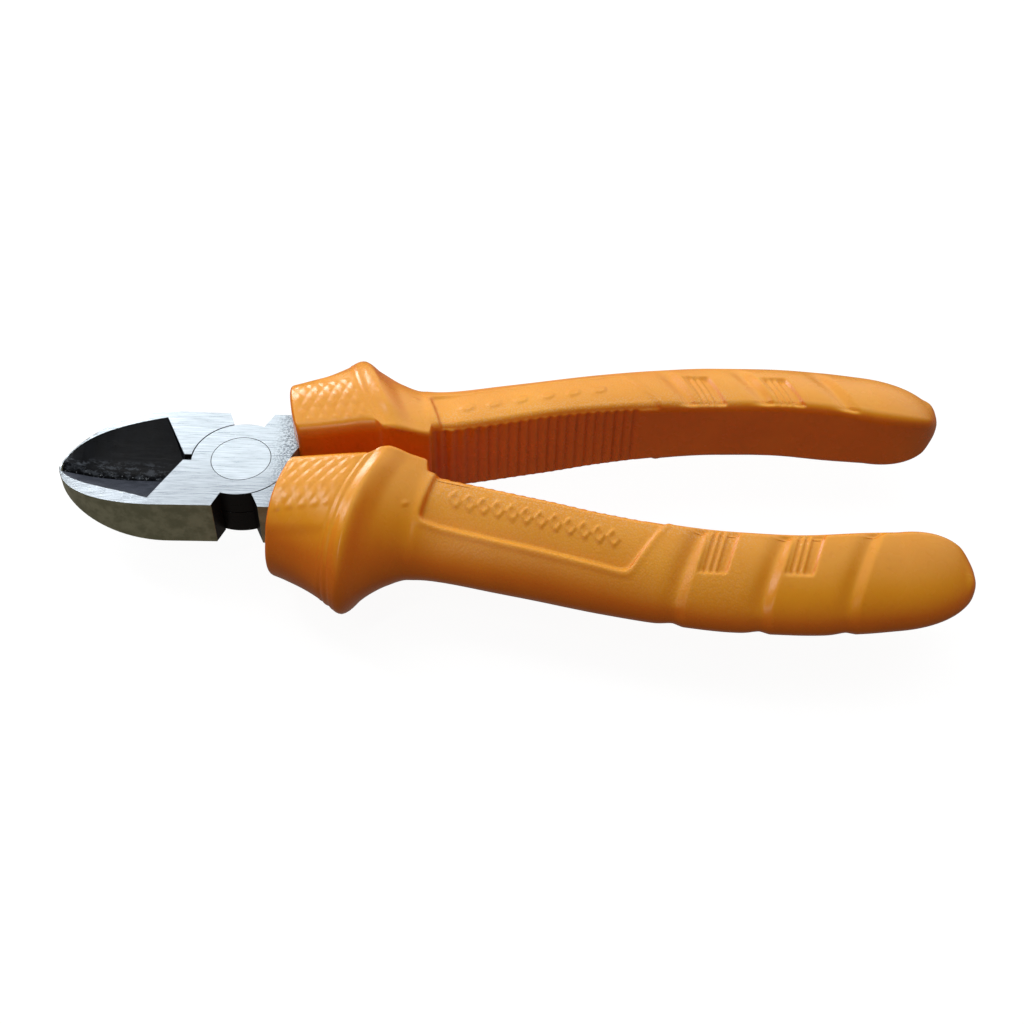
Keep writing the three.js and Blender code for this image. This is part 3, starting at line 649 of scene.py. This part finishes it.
def finish_steel(node_name, material, bevel):
    """The CAD's own solid with its sharp edges broken and its curved faces smooth."""
    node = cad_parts[node_name]
    node.data.materials.clear()
    node.data.materials.append(material)
    node.data.polygons.foreach_set("use_smooth", [True] * len(node.data.polygons))
    weld = node.modifiers.new("weld", "WELD")
    weld.merge_threshold = WELD_DISTANCE * MM
    edges = node.modifiers.new("edges", "BEVEL")
    edges.width = bevel * MM
    edges.segments = 2
    edges.limit_method = "ANGLE"
    edges.angle_limit = radians(SHARP_ANGLE)
    edges.use_clamp_overlap = True
    edges.harden_normals = True
    node.modifiers.new("normals", "WEIGHTED_NORMAL").keep_sharp = True


# ---- stage --------------------------------------------------------------------------

FLOOR_SIZE = 6.0                   # metres
FLOOR_GAP = 0.2                    # below the lowest point of the tool
STAGE_CENTRE_X = 50                # the lamps stand round this place on the tool
LAMP_DISTANCE = 0.6                # metres
DOME_AXIS = (0.10, 0.72, 0.69)
# cosine of the angle between a direction and the axis, and the colour there
DOME_LOW = (0.55, (0.13, 0.12, 0.108, 1))
DOME_HIGH = (0.86, (1, 1, 1, 1))
DOME_STRENGTH = 1.38


def make_floor():
    """A pale floor that glows evenly and takes only faint shadows."""
    n = Nodes("pale_floor")
    n.shader.inputs["Base Color"].default_value = colour(90, 90, 90)
    n.shader.inputs["Roughness"].default_value = 0.9
    n.shader.inputs["Emission Color"].default_value = (1, 1, 1, 1)
    n.shader.inputs["Emission Strength"].default_value = 0.94
    half = FLOOR_SIZE / 2
    mesh = bpy.data.meshes.new("floor")
    corners = [(-half, -half, 0), (half, -half, 0), (half, half, 0), (-half, half, 0)]
    mesh.from_pydata(corners, [], [(0, 1, 2, 3)])
    mesh.materials.append(n.material)
    floor = bpy.data.objects.new("floor", mesh)
    floor.location.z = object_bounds()[0][2] - FLOOR_GAP * MM
    floor.visible_diffuse = False
    floor.visible_glossy = False
    bpy.context.scene.collection.objects.link(floor)


def make_lamp(name, direction, size, power):
    """A soft panel in a direction from the tool, facing it."""
    data = bpy.data.lights.new(name, "AREA")
    data.shape = "RECTANGLE"
    data.size, data.size_y = size
    data.energy = power
    lamp = bpy.data.objects.new(name, data)
    away = Vector(direction).normalized()
    lamp.location = Vector((STAGE_CENTRE_X * MM, 0, MID_Z)) + LAMP_DISTANCE * away
    lamp.rotation_euler = away.to_track_quat("Z", "Y").to_euler()
    bpy.context.scene.collection.objects.link(lamp)


def make_world():
    """A broad white dome overhead and behind, falling to a dark warm surround elsewhere."""
    world = bpy.data.worlds.new("studio")
    bpy.context.scene.world = world
    world.use_nodes = True
    tree = world.node_tree
    coordinates = tree.nodes.new("ShaderNodeTexCoord")
    facing = tree.nodes.new("ShaderNodeVectorMath")
    facing.operation = "DOT_PRODUCT"
    facing.inputs[1].default_value = Vector(DOME_AXIS).normalized()
    ramp = tree.nodes.new("ShaderNodeValToRGB")
    tree.links.new(coordinates.outputs["Generated"], facing.inputs[0])
    tree.links.new(facing.outputs["Value"], ramp.inputs[0])
    low, high = ramp.color_ramp.elements
    low.position, low.color = DOME_LOW
    high.position, high.color = DOME_HIGH
    tree.links.new(ramp.outputs[0], tree.nodes["Background"].inputs[0])
    tree.nodes["Background"].inputs[1].default_value = DOME_STRENGTH


# ---- everything ---------------------------------------------------------------------

make_camera()
make_world()
make_lamp("overhead_panel", (0.1, 0.55, 0.8), (0.55, 0.4), 0.15)
make_lamp("side_panel", (-0.62, 0.35, 0.66), (0.12, 0.34), 1.0)
make_lamp("low_panel", (-0.48, 0.83, 0.22), (0.14, 0.3), 1.1)
make_lamp("front_panel", (-0.35, -0.40, 0.85), (0.05, 0.25), 0.34)
forged = steel("forged_steel", 0.0)
finish_steel("forged_half_upper", forged, FORGED_BEVEL)
finish_steel("forged_half_lower", forged, FORGED_BEVEL)
finish_steel("pivot_rivet", steel("rivet_steel", 0.75), RIVET_BEVEL)
orange = moulded_orange()
make_grip("grip_upper_moulding", False, orange, "upper_half", "grip_upper_half")
make_grip("grip_lower_moulding", True, orange, "lower_half", "grip_lower_half")
make_floor()

bpy.context.scene.view_settings.view_transform = "Standard"
